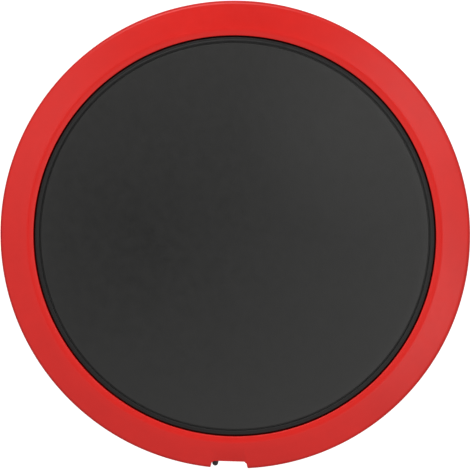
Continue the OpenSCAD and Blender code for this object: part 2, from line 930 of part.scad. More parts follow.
module wing_bolt_handle() {
    color("#202022")
        translate([0, bolt_y, rod_z])
            difference() {
                union() {
                    rotate([0, 90, 0])
                        rotate_extrude()
                            polygon([
                                [0, hub_x], [hub_r - 1, hub_x], [hub_r, hub_x + 1], [hub_r, hub_end - 2],
                                [hub_r - 2, hub_end], [0, hub_end]
                            ]);
                    for (a = [0, 180])
                        rotate([a, 0, 0])
                            wing_blade();
                }
                rotate([0, 90, 0])
                    cylinder(r = stud_r + eps, h = hub_end - 3 + eps);
            }
}

rim_bezel();
bottom_housing();
base_plate();
base_plate_screws();
clamp_recess();
jack_panel();
cord_hook();
rubber_head();
striker_plate();
foam_ring();
piezo_foam_tape();
piezo_brass_disc();
piezo_ceramic_disc();
piezo_solder_dots();
piezo_lead_red();
piezo_lead_black();
trigger_board();
board_connector();
board_capacitor();
board_resistors();
board_screws();
jack_lead_tip();
jack_lead_sleeve();
jack_body();
jack_ferrule();
jack_washer();
jack_nut();
jack_tip_lug();
jack_tip_spring();
jack_sleeve_contact();
clamp_block();
clamp_block_screws();
clamp_nut();
clamp_shoe();
wing_bolt_stud();
wing_bolt_handle();
bezel_screws();
foot(0);  // foot_1
foot(1);  // foot_2
foot(2);  // foot_3
foot(3);  // foot_4
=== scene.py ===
"""Looks of the electronic drum pad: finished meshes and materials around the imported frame."""
import json
import math

import bmesh
import bpy
from mathutils import Matrix, Vector


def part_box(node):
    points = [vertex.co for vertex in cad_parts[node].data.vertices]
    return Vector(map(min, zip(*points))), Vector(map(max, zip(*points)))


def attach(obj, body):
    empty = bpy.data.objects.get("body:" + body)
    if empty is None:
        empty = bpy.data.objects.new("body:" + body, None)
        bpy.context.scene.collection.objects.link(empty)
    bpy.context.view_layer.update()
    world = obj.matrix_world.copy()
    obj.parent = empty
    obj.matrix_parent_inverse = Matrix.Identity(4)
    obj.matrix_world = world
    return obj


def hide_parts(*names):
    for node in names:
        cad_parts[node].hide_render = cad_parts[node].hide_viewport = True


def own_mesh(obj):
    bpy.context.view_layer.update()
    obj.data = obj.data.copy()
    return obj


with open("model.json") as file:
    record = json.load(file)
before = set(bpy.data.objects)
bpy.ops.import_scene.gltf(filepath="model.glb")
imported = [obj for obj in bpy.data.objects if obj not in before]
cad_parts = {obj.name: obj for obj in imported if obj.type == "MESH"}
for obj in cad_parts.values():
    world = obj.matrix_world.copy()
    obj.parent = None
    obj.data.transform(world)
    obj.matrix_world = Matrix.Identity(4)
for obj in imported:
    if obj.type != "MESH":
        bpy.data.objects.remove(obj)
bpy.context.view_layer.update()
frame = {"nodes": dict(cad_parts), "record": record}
NODES = frame["nodes"]
MM = 0.001

# ---- sizes, in metres, from the frame ----
RIM_LOW, RIM_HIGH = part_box("rim_bezel")
HEAD_LOW, HEAD_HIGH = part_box("rubber_head")
PLATE_LOW, PLATE_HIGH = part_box("striker_plate")
FOAM_LOW, FOAM_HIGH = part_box("foam_ring")
FERRULE_LOW, FERRULE_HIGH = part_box("jack_ferrule")
NUT_LOW, NUT_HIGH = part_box("jack_nut")
STUD_LOW, STUD_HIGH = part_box("wing_bolt_stud")
HANDLE_LOW, HANDLE_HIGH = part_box("wing_bolt_handle")

RIM_R = RIM_HIGH.x
CREST_Z = RIM_HIGH.z
SKIRT_Z = RIM_LOW.z
SHELF_Z = FOAM_LOW.z
HEAD_R = HEAD_HIGH.x
HEAD_TOP = HEAD_HIGH.z
PLATE_R = PLATE_HIGH.x

OPENING_R = HEAD_R + 0.55 * MM
CREST_R = 101.0 * MM
RIM_SLOPE = math.radians(14)
RIM_WALL = 2.5 * MM
RIM_EDGE_R = 2.5 * MM
SKIRT_DRAFT = 2.4 * MM
INNER_WALL = 2.2 * MM
NOTCH_FLAT_Y = 110.7 * MM
NOTCH_FLAT_HALF = 7.4 * MM
NOTCH_OPEN_HALF = 9.1 * MM
NOTCH_WALL = 2.2 * MM
ARCH_HALF = 9.2 * MM
ARCH_TOP = SHELF_Z + 1.0 * MM
GROOVE_R = 94.8 * MM
PLUG_BORE_R = 3.25 * MM
BOSS_COUNT = 8
BOSS_RING_R = 106.5 * MM
BOSS_R = 3.5 * MM
BOSS_BORE_R = 1.72 * MM
FOAM_IN_R = 84.5 * MM
ROUND = 360  # segments of the rim and the head
BEVEL_SEGMENTS = 2
BEVELLED_EDGE = math.radians(35)
CAD_EDGE = math.radians(30)
NEARLY_STRAIGHT = 1.55  # half a corner's angle, in radians, from which it isn't rounded


# ---- mesh tools ----
def new_piece(name, bm):
    """A linked object that holds the mesh in bm."""
    bmesh.ops.recalc_face_normals(bm, faces=bm.faces)
    mesh = bpy.data.meshes.new(name)
    bm.to_mesh(mesh)
    bm.free()
    piece = bpy.data.objects.new(name, mesh)
    bpy.context.scene.collection.objects.link(piece)
    return piece


def smooth(piece, angle=32):
    """Shades piece smooth, with sharp edges where its faces meet at more than angle degrees."""
    bm = bmesh.new()
    bm.from_mesh(piece.data)
    for face in bm.faces:
        face.smooth = True
    for edge in bm.edges:
        edge.smooth = edge.is_manifold and edge.calc_face_angle(0) < math.radians(angle)
    bm.to_mesh(piece.data)
    bm.free()
    return piece


def rounded(corners, steps=6):
    """A closed outline through corners (x, y, radius), with each corner rounded by an arc."""
    outline = []
    count = len(corners)
    for i, (x, y, radius) in enumerate(corners):
        corner = Vector((x, y))
        back = Vector(corners[i - 1][:2]) - corner
        ahead = Vector(corners[(i + 1) % count][:2]) - corner
        half = back.angle(ahead) / 2
        if radius <= 0 or half > NEARLY_STRAIGHT:
            outline.append((x, y))
            continue
        reach = min(radius / math.tan(half), 0.49 * back.length, 0.49 * ahead.length)
        radius = reach * math.tan(half)
        centre = corner + (back.normalized() + ahead.normalized()).normalized() * (radius / math.sin(half))
        start = corner + back.normalized() * reach - centre
        end = corner + ahead.normalized() * reach - centre
        first = math.atan2(start.y, start.x)
        turn = (math.atan2(end.y, end.x) - first + math.pi) % (2 * math.pi) - math.pi
        for k in range(steps + 1):
            angle = first + turn * k / steps
            outline.append((centre.x + radius * math.cos(angle), centre.y + radius * math.sin(angle)))
    return outline


def lathe(name, outline, segments=256):
    """A closed solid of revolution about Z, from a closed outline of (radius, height)."""
    bm = bmesh.new()
    rings = []
    for radius, height in outline:
        count = 1 if radius < 1e-7 else segments
        rings.append([
            bm.verts.new((
                radius * math.cos(2 * math.pi * k / count),
                radius * math.sin(2 * math.pi * k / count),
                height,
            ))
            for k in range(count)
        ])
    for ring, after in zip(rings, rings[1:] + rings[:1]):
        for k in range(segments):
            corners = [ring[k % len(ring)], ring[(k + 1) % len(ring)]]
            corners += [after[(k + 1) % len(after)], after[k % len(after)]]
            corners = list(dict.fromkeys(corners))
            if len(corners) > 2:
                bm.faces.new(corners)
    return new_piece(name, bm)


def prism(name, outline, low, high):
    """A closed prism over an outline of (x, y), from height low to high."""
    bm = bmesh.new()
    bottom = [bm.verts.new((x, y, low)) for x, y in outline]
    top = [bm.verts.new((x, y, high)) for x, y in outline]
    bm.faces.new(bottom)
    bm.faces.new(top)
    count = len(outline)
    for k in range(count):
        bm.faces.new([bottom[k], bottom[(k + 1) % count], top[(k + 1) % count], top[k]])
    return new_piece(name, bm)


def bake(piece):
    """Applies the piece's modifiers."""
    graph = bpy.context.evaluated_depsgraph_get()
    mesh = bpy.data.meshes.new_from_object(piece.evaluated_get(graph))
    piece.modifiers.clear()
    old = piece.data
    piece.data = mesh
    bpy.data.meshes.remove(old)
    return piece


def combine(piece, other, operation):
    """Adds other to piece, or cuts it away, and removes it."""
    modifier = piece.modifiers.new("combine", "BOOLEAN")
    modifier.operation = operation
    modifier.solver = "EXACT"
    modifier.object = other
    bake(piece)
    bpy.data.objects.remove(other)
    return piece


def join(name, pieces):
    """One object with the meshes of all the pieces."""
    bm = bmesh.new()
    for piece in pieces:
        piece.data.transform(piece.matrix_world)
        bm.from_mesh(piece.data)
        bpy.data.objects.remove(piece)
    return new_piece(name, bm)


def moved(piece, matrix):
    piece.data.transform(matrix)
    return piece


def bevel(piece, width):
    """Breaks the piece's sharp edges."""
    modifier = piece.modifiers.new("bevel", "BEVEL")
    modifier.width = width
    modifier.segments = BEVEL_SEGMENTS
    modifier.limit_method = "ANGLE"
    modifier.angle_limit = BEVELLED_EDGE
    modifier.use_clamp_overlap = True
    return bake(piece)


def broken_edges(node, width):
    """A copy of a CAD node's solid with its moulded or turned edges broken."""
    bm = bmesh.new()
    bm.from_mesh(NODES[node].data)
    bmesh.ops.remove_doubles(bm, verts=bm.verts, dist=1e-6)
    bmesh.ops.dissolve_limit(bm, angle_limit=math.radians(1), verts=bm.verts, edges=bm.edges)
    edges = [e for e in bm.edges if e.is_manifold and e.calc_face_angle(0) > CAD_EDGE]
    bmesh.ops.bevel(
        bm, geom=edges, offset=width, offset_type="OFFSET", segments=BEVEL_SEGMENTS, profile=0.5,
        affect="EDGES", clamp_overlap=True,
    )
    return smooth(new_piece(node + "_finished", bm))


def finish(piece, body, material, slot, *nodes):
    """Gives a finished piece its material and its body, and hides the CAD nodes that it stands for."""
    piece.data.materials.clear()
    piece.data.materials.append(material)
    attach(piece, body)
    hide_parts(*nodes)
    return piece


# ---- material tools ----
class Surface:
    """A Principled material whose detail comes from procedural nodes in the object's own space."""

    def __init__(self, name, rough=0.5, metal=0.0, specular=0.5):
        self.material = bpy.data.materials.new(name)
        self.material.use_nodes = True
        self.tree = self.material.node_tree
        self.shader = self.tree.nodes["Principled BSDF"]
        self.shader.inputs["Metallic"].default_value = metal
        self.shader.inputs["Roughness"].default_value = rough
        self.shader.inputs["Specular IOR Level"].default_value = specular
        self.place = self.tree.nodes.new("ShaderNodeTexCoord").outputs["Object"]
        self.normal = None

    def link(self, output, target):
        self.tree.links.new(output, target)

    def stretched(self, scale):
        node = self.tree.nodes.new("ShaderNodeMapping")
        node.inputs["Scale"].default_value = scale
        self.link(self.place, node.inputs["Vector"])
        return node.outputs["Vector"]

    def noise(self, size, detail=3.0, stretch=None, shift=0.0):
        """Noise with features of about size metres, from 0 to 1."""
        node = self.tree.nodes.new("ShaderNodeTexNoise")
        node.noise_dimensions = "4D"
        node.inputs["W"].default_value = shift
        node.inputs["Scale"].default_value = 1 / size
        node.inputs["Detail"].default_value = detail
        self.link(self.stretched(stretch) if stretch else self.place, node.inputs["Vector"])
        return node.outputs["Fac"]

    def cells(self, size, stretch=None):
        """A Voronoi node with cells of about size metres."""
        node = self.tree.nodes.new("ShaderNodeTexVoronoi")
        node.inputs["Scale"].default_value = 1 / size
        self.link(self.stretched(stretch) if stretch else self.place, node.inputs["Vector"])
        return node.outputs

    def remap(self, value, low, high, to_low=0.0, to_high=1.0):
        node = self.tree.nodes.new("ShaderNodeMapRange")
        node.inputs["From Min"].default_value = low
        node.inputs["From Max"].default_value = high
        node.inputs["To Min"].default_value = to_low
        node.inputs["To Max"].default_value = to_high
        self.link(value, node.inputs["Value"])
        return node.outputs["Result"]

    def math(self, operation, a, b):
        node = self.tree.nodes.new("ShaderNodeMath")
        node.operation = operation
        for socket, value in zip(node.inputs, (a, b)):
            if isinstance(value, (int, float)):
                socket.default_value = value
            else:
                self.link(value, socket)
        return node.outputs["Value"]

    def mix(self, factor, a, b):
        """Colour a where factor is 0 and b where it is 1. Each is a colour or a socket."""
        node = self.tree.nodes.new("ShaderNodeMix")
        node.data_type = "RGBA"
        self.link(factor, node.inputs["Factor"])
        for socket, value in ((node.inputs[6], a), (node.inputs[7], b)):
            if isinstance(value, tuple):
                socket.default_value = (*value, 1)
            else:
                self.link(value, socket)
        return node.outputs[2]

    def color(self, socket):
        self.link(socket, self.shader.inputs["Base Color"])

    def rough(self, socket):
        self.link(socket, self.shader.inputs["Roughness"])

    def bump(self, height, depth, strength=1.0):
        """Adds relief: height from 0 to 1 stands depth metres proud."""
        node = self.tree.nodes.new("ShaderNodeBump")
        node.inputs["Strength"].default_value = strength
        node.inputs["Distance"].default_value = depth
        self.link(height, node.inputs["Height"])
        if self.normal:
            self.link(self.normal, node.inputs["Normal"])
        self.normal = node.outputs["Normal"]
        self.link(self.normal, self.shader.inputs["Normal"])

    def radius(self, centre=(0, 0, 0)):
        """Distance from an upright axis through centre, or from the pad's axis."""
        flat = self.tree.nodes.new("ShaderNodeVectorMath")
        flat.operation = "DISTANCE"
        self.link(self.stretched((1, 1, 0)), flat.inputs[0])
        flat.inputs[1].default_value = centre
        return flat.outputs["Value"]

    def specks(self, size, share, radius):
        """A mask of sparse round specks: one in a share of the cells of that size."""
        cell = self.cells(size, stretch=(1, 1, 0))
        near = self.math("LESS_THAN", cell["Distance"], radius / size)
        parts = self.tree.nodes.new("ShaderNodeSeparateColor")
        self.link(cell["Color"], parts.inputs["Color"])
        chosen = self.math("LESS_THAN", parts.outputs["Red"], share)
        return self.math("MULTIPLY", near, chosen)


def rim_plastic():
    """Satin moulded plastic, red, with painted light that brightens it by the lip, a fine grain and a few
    dust specks.
    """
    s = Surface("rim_plastic", specular=0.36)
    cloud = s.remap(s.noise(40 * MM, 3), 0.35, 0.65)
    base = s.mix(cloud, (0.73, 0.0165, 0.0118), (0.80, 0.0185, 0.0130))
    flow = s.remap(s.noise(6 * MM, 4, stretch=(1, 1, 0.3)), 0.3, 0.7, 0, 0.35)
    base = s.mix(flow, base, (0.69, 0.0145, 0.0112))
    # painted light: the red is brightened towards the lip
    painted_light_by_lip = s.remap(s.radius(), CREST_R + 4 * MM, CREST_R, 0, 0.6)
    base = s.mix(painted_light_by_lip, base, (0.80, 0.0170, 0.0120))
    s.color(s.mix(s.specks(26 * MM, 0.3, 0.3 * MM), base, (0.8, 0.45, 0.40)))
    s.rough(s.remap(s.noise(2.2 * MM, 5), 0.3, 0.7, 0.31, 0.39))
    s.bump(s.noise(0.5 * MM, 3), 0.010 * MM, 0.6)
    s.bump(s.noise(22 * MM, 2, shift=3.0), 0.05 * MM, 0.5)
    return s.material


def head_rubber():
    """Matt dark grey rubber with a fine pebble grain, faint clouding and dust.

    Painted shade makes it darkest left of the middle and lighter outward, a painted sheen lightens it on the
    right at the back, and it's dark beyond the groove.
    """
    s = Surface("head_rubber", specular=0.4)
    cloud = s.remap(s.noise(70 * MM, 4), 0.3, 0.7)
    # painted shade: darkest left of the middle, lightening outward
    painted_shade_falloff = s.remap(s.radius((-48 * MM, 4 * MM, 0)), 0, 135 * MM)
    base = s.mix(painted_shade_falloff, (0.0060, 0.0060, 0.0056), (0.0300, 0.0300, 0.0286))
    # painted sheen: a lighter patch on the right at the back
    painted_sheen_spot = s.remap(s.radius((60 * MM, 60 * MM, 0)), 60 * MM, 10 * MM, 0, 0.6)
    base = s.mix(painted_sheen_spot, base, (0.0420, 0.0418, 0.0400))
    base = s.mix(s.math("MULTIPLY", cloud, 0.2), base, (0.0270, 0.0270, 0.0258))
    mottle = s.remap(s.noise(5 * MM, 5, shift=2.0), 0.35, 0.65, 0, 0.25)
    base = s.mix(mottle, base, (0.0275, 0.0272, 0.0260))
    beyond_groove = s.remap(s.radius(), GROOVE_R, GROOVE_R + 0.8 * MM, 0, 0.9)
    base = s.mix(beyond_groove, base, (0.0060, 0.0060, 0.0058))
    dust = s.specks(34 * MM, 0.3, 0.32 * MM)
    s.color(s.mix(dust, base, (0.25, 0.24, 0.22)))
    s.rough(s.remap(s.noise(3 * MM, 4, shift=5.0), 0.3, 0.7, 0.42, 0.52))
    s.bump(s.cells(0.45 * MM)["Distance"], 0.03 * MM, 0.5)
    s.bump(s.noise(1.6 * MM, 3), 0.02 * MM, 0.4)
    return s.material


def moulded(name, dark, light, rough=(0.45, 0.6), grain=0.5 * MM, depth=0.03 * MM, scuffs=0.25):
    """Spark-textured moulded plastic with faint flow marks and scuffs."""
    s = Surface(name)
    base = s.mix(s.remap(s.noise(18 * MM, 4), 0.3, 0.7), dark, light)
    scuff = s.remap(s.noise(9 * MM, 8, stretch=(1, 3.5, 1), shift=4.0), 0.60, 0.72, 0, scuffs)
    worn = tuple(min(1.0, c * 2.2 + 0.02) for c in light)
    s.color(s.mix(scuff, base, worn))
    s.rough(s.remap(s.noise(2 * MM, 4), 0.3, 0.7, *rough))
    s.bump(s.cells(grain)["Distance"], depth, 0.5)
    s.bump(s.noise(grain * 3, 3), depth, 0.3)
    return s.material


def rubber(name, dark, light):
    """Black moulded rubber with a matt, slightly dusty skin."""
    s = Surface(name, specular=0.3)
    base = s.mix(s.remap(s.noise(6 * MM, 5), 0.3, 0.7), dark, light)
    dust = s.remap(s.noise(1.2 * MM, 6, shift=3.0), 0.55, 0.75, 0, 0.25)
    s.color(s.mix(dust, base, (0.08, 0.078, 0.072)))
    s.rough(s.remap(s.noise(1.5 * MM, 3), 0.3, 0.7, 0.7, 0.85))
    s.bump(s.noise(0.4 * MM, 3), 0.03 * MM, 0.5)
    return s.material


def metal(name, dark, light, rough=(0.2, 0.35), brush=(1, 1, 40), grain=12 * MM, depth=0.01 * MM):
    """Plated or rolled metal with brush marks and a faint tarnish."""
    s = Surface(name, metal=1.0)
    lines = s.noise(grain, 6, stretch=brush)
    base = s.mix(s.remap(lines, 0.3, 0.7), dark, light)
    tarnish = s.remap(s.noise(4 * MM, 5, shift=7.0), 0.52, 0.72, 0, 0.35)
    s.color(s.mix(tarnish, base, tuple(c * 0.55 for c in dark)))
    s.rough(s.remap(lines, 0.3, 0.7, *rough))
    s.bump(lines, depth, 0.4)
    return s.material


def foam(name, dark, light, cell=0.9 * MM):
    """Open-cell foam: dark cells between lighter walls; the dark in each cell is painted shade in its pore.
    """
    s = Surface(name, specular=0.2)
    cells = s.cells(cell)["Distance"]
    # painted shade: each cell darkens towards its middle, where the bump sinks a pore
    base = s.mix(s.remap(cells, 0.15, 0.55), dark, light)
    s.color(s.mix(s.remap(s.noise(7 * MM, 3), 0.35, 0.65, 0, 0.4), base, dark))
    s.rough(s.remap(s.noise(2 * MM, 2), 0.3, 0.7, 0.85, 0.95))
    s.bump(cells, 0.35 * MM, 0.9)
    return s.material


def insulation(name, tone):
    """PVC wire insulation, slightly glossy."""
    s = Surface(name)
    faded = tuple(min(1.0, c * 0.8 + 0.01) for c in tone)
    s.color(s.mix(s.remap(s.noise(3 * MM, 3), 0.3, 0.7), tone, faded))
    s.rough(s.remap(s.noise(1 * MM, 3), 0.3, 0.7, 0.32, 0.45))
    s.bump(s.noise(0.6 * MM, 2), 0.01 * MM, 0.3)
    return s.material


def board_laminate():
    """Green solder resist with the glass weave just showing and a hatched copper pour under it."""
    s = Surface("board_laminate")
    weave = s.math("ADD", s.noise(0.6 * MM, 1, stretch=(1, 8, 1)), s.noise(0.6 * MM, 1, stretch=(8, 1, 1)))
    base = s.mix(s.remap(weave, 0.8, 1.2), (0.006, 0.075, 0.028), (0.010, 0.115, 0.042))
    pour = s.cells(5 * MM, stretch=(1, 1, 0))["Distance"]
    s.color(s.mix(s.remap(pour, 0.42, 0.46, 0, 0.6), base, (0.018, 0.19, 0.065)))
    s.rough(s.remap(s.noise(3 * MM, 3), 0.3, 0.7, 0.22, 0.34))
    s.bump(s.remap(pour, 0.42, 0.46), 0.03 * MM, 0.5)
    return s.material


def resistor_lacquer():
    """Tan lacquer with colour bands across the body and tinned wire beyond it."""
    s = Surface("resistor_lacquer")
    parts = s.tree.nodes.new("ShaderNodeSeparateXYZ")
    s.link(s.place, parts.inputs["Vector"])
    low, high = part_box("board_resistors")
    along = s.remap(parts.outputs["X"], low.x, high.x)
    ramp = s.tree.nodes.new("ShaderNodeValToRGB")
    ramp.color_ramp.interpolation = "CONSTANT"
    tan = (0.50, 0.36, 0.20)
    wire = (0.42, 0.42, 0.43)
    bands = [
        (0.0, wire), (0.22, tan), (0.30, (0.16, 0.06, 0.02)), (0.35, tan),
        (0.42, (0.01, 0.01, 0.01)), (0.47, tan), (0.54, (0.45, 0.10, 0.01)), (0.59, tan),
        (0.68, (0.45, 0.32, 0.05)), (0.72, tan), (0.79, wire),
    ]
    stops = ramp.color_ramp.elements
    stops.remove(stops[1])
    stops[0].color = (*bands[0][1], 1)
    for place, tone in bands[1:]:
        stops.new(place).color = (*tone, 1)
    s.link(along, ramp.inputs["Fac"])
    shade = s.remap(s.noise(1.5 * MM, 3), 0.3, 0.7, 0, 0.15)
    s.color(s.mix(shade, ramp.outputs["Color"], (0.1, 0.08, 0.05)))
    s.rough(s.remap(s.noise(0.8 * MM, 3), 0.3, 0.7, 0.25, 0.38))
    s.bump(s.noise(0.8 * MM, 2), 0.02 * MM, 0.4)
    return s.material


MATERIALS = {
    "rim_plastic": rim_plastic(),
    "head_rubber": head_rubber(),
    "housing_plastic": moulded("housing_plastic", (0.020, 0.020, 0.021), (0.030, 0.030, 0.031)),
    "clamp_nylon": moulded(
        "clamp_nylon", (0.030, 0.030, 0.033), (0.045, 0.045, 0.048), (0.5, 0.65), 0.7 * MM,
    ),
    "handle_nylon": moulded(
        "handle_nylon", (0.024, 0.024, 0.026), (0.038, 0.038, 0.040), (0.4, 0.55), 0.4 * MM,
    ),
    "shoe_nylon": moulded("shoe_nylon", (0.06, 0.06, 0.064), (0.09, 0.09, 0.095), (0.5, 0.65)),
    "jack_nylon": moulded("jack_nylon", (0.010, 0.010, 0.010), (0.016, 0.016, 0.016), (0.4, 0.5)),
    "connector_nylon": moulded(
        "connector_nylon", (0.66, 0.63, 0.55), (0.75, 0.73, 0.66), (0.35, 0.45), scuffs=0.0,
    ),
    "capacitor_sleeve": moulded(
        "capacitor_sleeve", (0.006, 0.008, 0.035), (0.012, 0.016, 0.06), (0.2, 0.3), depth=0.01 * MM,
    ),
    "foot_rubber": rubber("foot_rubber", (0.014, 0.014, 0.014), (0.026, 0.026, 0.026)),
    "plate_steel": metal("plate_steel", (0.42, 0.43, 0.45), (0.56, 0.56, 0.57), (0.28, 0.42), (1, 30, 1)),
    "zinc_screw": metal(
        "zinc_screw", (0.48, 0.49, 0.50), (0.62, 0.62, 0.62), (0.25, 0.38), (6, 6, 1), 3 * MM,
    ),
    "black_screw": metal(
        "black_screw", (0.035, 0.035, 0.036), (0.06, 0.06, 0.062), (0.35, 0.5), (6, 6, 1), 3 * MM,
    ),
    "nickel": metal(
        "nickel", (0.58, 0.56, 0.52), (0.70, 0.68, 0.64), (0.14, 0.24), (1, 1, 1), 1.5 * MM, 0.004 * MM,
    ),
    "contact_metal": metal(
        "contact_metal", (0.52, 0.44, 0.28), (0.66, 0.58, 0.40), (0.22, 0.34), (1, 12, 1), 3 * MM,
    ),
    "brass": metal("brass", (0.62, 0.42, 0.13), (0.78, 0.56, 0.20), (0.22, 0.36), (1, 20, 1), 8 * MM),
    "piezo_ceramic": metal(
        "piezo_ceramic", (0.62, 0.61, 0.58), (0.74, 0.73, 0.70), (0.4, 0.55), (1, 1, 1), 2 * MM,
    ),
    "solder": metal(
        "solder", (0.58, 0.58, 0.59), (0.70, 0.70, 0.71), (0.12, 0.25), (1, 1, 1), 0.8 * MM, 0.03 * MM,
    ),
    "foam": foam("foam", (0.012, 0.012, 0.013), (0.06, 0.06, 0.065)),
    "foam_tape": foam("foam_tape", (0.5, 0.49, 0.46), (0.74, 0.73, 0.70), 0.5 * MM),
    "lead_red": insulation("lead_red", (0.5, 0.02, 0.02)),
    "lead_black": insulation("lead_black", (0.012, 0.012, 0.012)),
    "lead_yellow": insulation("lead_yellow", (0.75, 0.5, 0.03)),
    "board_laminate": board_laminate(),
    "resistor_lacquer": resistor_lacquer(),
}
SLOT_OF = {row["node"]: row["material_slot"] for row in frame["record"]["subparts"]}


def place(piece, body, *nodes):
    """Finishes a piece with the material slot of the first CAD node that it stands for."""
    slot = SLOT_OF[nodes[0]]
    return finish(piece, body, MATERIALS[slot], slot, *nodes)


# ---- rim ----
def cone_z(radius):
    """Height of the rim's sloping top at a radius."""
    return CREST_Z - (radius - CREST_R) * math.tan(RIM_SLOPE)


def rim_outline():
    """Cross-section of the rim, with its moulded edges rounded."""
    under = RIM_WALL / math.cos(RIM_SLOPE)
    shoulder = RIM_R - RIM_WALL
    wall = OPENING_R + INNER_WALL
    return rounded([
        (OPENING_R, SHELF_Z, 0),
        (OPENING_R, CREST_Z - 0.45 * MM, 0.6 * MM),
        (CREST_R, CREST_Z + 0.02 * MM, 5 * MM),
        (RIM_R, cone_z(RIM_R), RIM_EDGE_R),
        (RIM_R - SKIRT_DRAFT, SKIRT_Z, 0.7 * MM),
        (RIM_R - SKIRT_DRAFT - RIM_WALL, SKIRT_Z, 0.4 * MM),
        (shoulder, cone_z(shoulder) - under - 1.2 * MM, 1.5 * MM),
        (wall, cone_z(wall) - under - 0.3 * MM, 0.8 * MM),
        (wall, SHELF_Z, 0),
    ], 8)


def rim_envelope():
    """Everything under the rim's outer surface."""
    inner = CREST_R + 3 * MM
    return lathe("rim_envelope", rounded([
        (inner, SKIRT_Z, 0),
        (inner, cone_z(inner), 0),
        (RIM_R, cone_z(RIM_R), RIM_EDGE_R),
        (RIM_R - SKIRT_DRAFT, SKIRT_Z, 0.7 * MM),
    ], 8), ROUND)


def notch_outline(grow):
    """Plan of the notch: a flat, short slanted corners, steep sides and rounded mouth edges."""
    flat = NOTCH_FLAT_HALF + grow
    mouth = NOTCH_OPEN_HALF + grow
    y = grow - NOTCH_FLAT_Y
    half = [
        (flat, y, 0.3 * MM),
        (flat + 1.2 * MM, y - 1.0 * MM, 0.4 * MM),
        (mouth, -RIM_R + 1.0 * MM, 0.8 * MM),
        (mouth + 1.5 * MM, -RIM_R - 0.3 * MM, 0),
        (mouth + 1.5 * MM, -RIM_R - 5 * MM, 0),
    ]
    mirrored = [(-x, y, radius) for x, y, radius in reversed(half)]
    return rounded(half + mirrored, 5)


def arch():
    """The opening in the notch's wall, with rounded top corners, as a cutter along Y."""
    top = rounded([
        (-ARCH_HALF, SKIRT_Z - 2 * MM, 0),
        (ARCH_HALF, SKIRT_Z - 2 * MM, 0),
        (ARCH_HALF, ARCH_TOP, 2 * MM),
        (-ARCH_HALF, ARCH_TOP, 2 * MM),
    ])
    cutter = prism("arch", top, 0, 8.5 * MM)
    stand_up = Matrix.Translation((0, -NOTCH_FLAT_Y + 4 * MM, 0)) @ Matrix.Rotation(math.pi / 2, 4, "X")
    return moved(cutter, stand_up)


def bosses():
    """Screw bosses inside the rim."""
    top = cone_z(BOSS_RING_R - BOSS_R) - RIM_WALL
    outline = [(BOSS_BORE_R, SHELF_Z), (BOSS_R, SHELF_Z), (BOSS_R, top), (BOSS_BORE_R, top)]
    made = []
    for k in range(BOSS_COUNT):
        angle = 2 * math.pi * (k + 0.5) / BOSS_COUNT
        spot = Matrix.Translation((BOSS_RING_R * math.cos(angle), BOSS_RING_R * math.sin(angle), 0))
        made.append(moved(lathe("boss", outline, 32), spot))
    return join("bosses", made)


def make_rim():
    rim = lathe("rim_moulding", rim_outline(), ROUND)
    wall = prism("notch_wall", notch_outline(NOTCH_WALL), SKIRT_Z, CREST_Z)
    combine(wall, rim_envelope(), "INTERSECT")
    combine(rim, wall, "UNION")
    combine(rim, prism("notch", notch_outline(0), SKIRT_Z - MM, CREST_Z + MM), "DIFFERENCE")
    combine(rim, arch(), "DIFFERENCE")
    combine(rim, bosses(), "UNION")
    bevel(rim, 0.3 * MM)
    place(smooth(rim), "base", "rim_bezel")


# ---- playing head ----
def make_head():
    """Rubber cap: a groove near its edge, a narrow band nearly level with the top, a lower border."""
    top = HEAD_TOP
    lip_in = PLATE_R - 2.3 * MM
    fit = PLATE_R + 0.02 * MM
    groove_in = GROOVE_R - 0.45 * MM
    groove_out = GROOVE_R + 0.45 * MM
    outline = rounded([
        (0, PLATE_HIGH.z, 0),
        (0, top, 0),
        (40 * MM, top, 0),  # this ring and the next two divide the flat top
        (75 * MM, top, 0),
        (90 * MM, top, 0),
        (groove_in, top, 0.25 * MM),
        (groove_in + 0.12 * MM, top - 0.95 * MM, 0.2 * MM),
        (groove_out - 0.12 * MM, top - 0.95 * MM, 0.2 * MM),
        (groove_out, top - 0.02 * MM, 0.22 * MM),
        (groove_out + 0.55 * MM, top - 0.02 * MM, 0.3 * MM),
        (groove_out + 1.0 * MM, top - 0.25 * MM, 0.4 * MM),
        (HEAD_R - 0.6 * MM, top - 0.22 * MM, 0.5 * MM),
        (HEAD_R, top - 0.7 * MM, 0.5 * MM),
        (HEAD_R, HEAD_LOW.z, 0.5 * MM),
        (lip_in, HEAD_LOW.z, 0.2 * MM),
        (lip_in, PLATE_LOW.z, 0),
        (fit, PLATE_LOW.z, 0),
        (fit, PLATE_HIGH.z, 0),
    ], 4)
    head = lathe("rubber_playing_head", outline, ROUND)
    place(smooth(head, 50), "head", "rubber_head")


def make_foam_ring():
    """Soft ring under the striker plate: rounded edges and slightly bulged sides."""
    r_in, r_out = FOAM_IN_R, FOAM_HIGH.x
    low, high = FOAM_LOW.z, FOAM_HIGH.z
    middle = (low + high) / 2
    bulge = 0.25 * MM
    outline = rounded([
        (r_in, low, 0.4 * MM), (r_in - bulge, middle, 3 * MM), (r_in, high, 0.4 * MM),
        (r_out, high, 0.4 * MM), (r_out + bulge, middle, 3 * MM), (r_out, low, 0.4 * MM),
    ], 4)
    ring = place(smooth(lathe("foam_support_ring", outline, 256)), "base", "foam_ring")
    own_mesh(ring)


# ---- jack ----
def along_y(piece, x, y, z):
    """Lays a piece made about Z along -Y, with its foot at (x, y, z)."""
    return moved(piece, Matrix.Translation((x, y, z)) @ Matrix.Rotation(math.pi / 2, 4, "X"))


def thread_outline(radius, low, high, pitch, depth):
    """Outer side of a thread, drawn as rings."""
    points = []
    turns = int((high - low) / pitch)
    start = low + ((high - low) - turns * pitch) / 2
    points.append((radius, low))
    for k in range(turns):
        points.append((radius, start + (k + 0.15) * pitch))
        points.append((radius - depth, start + (k + 0.5) * pitch))
        points.append((radius, start + (k + 0.85) * pitch))
    points.append((radius, high))
    return points


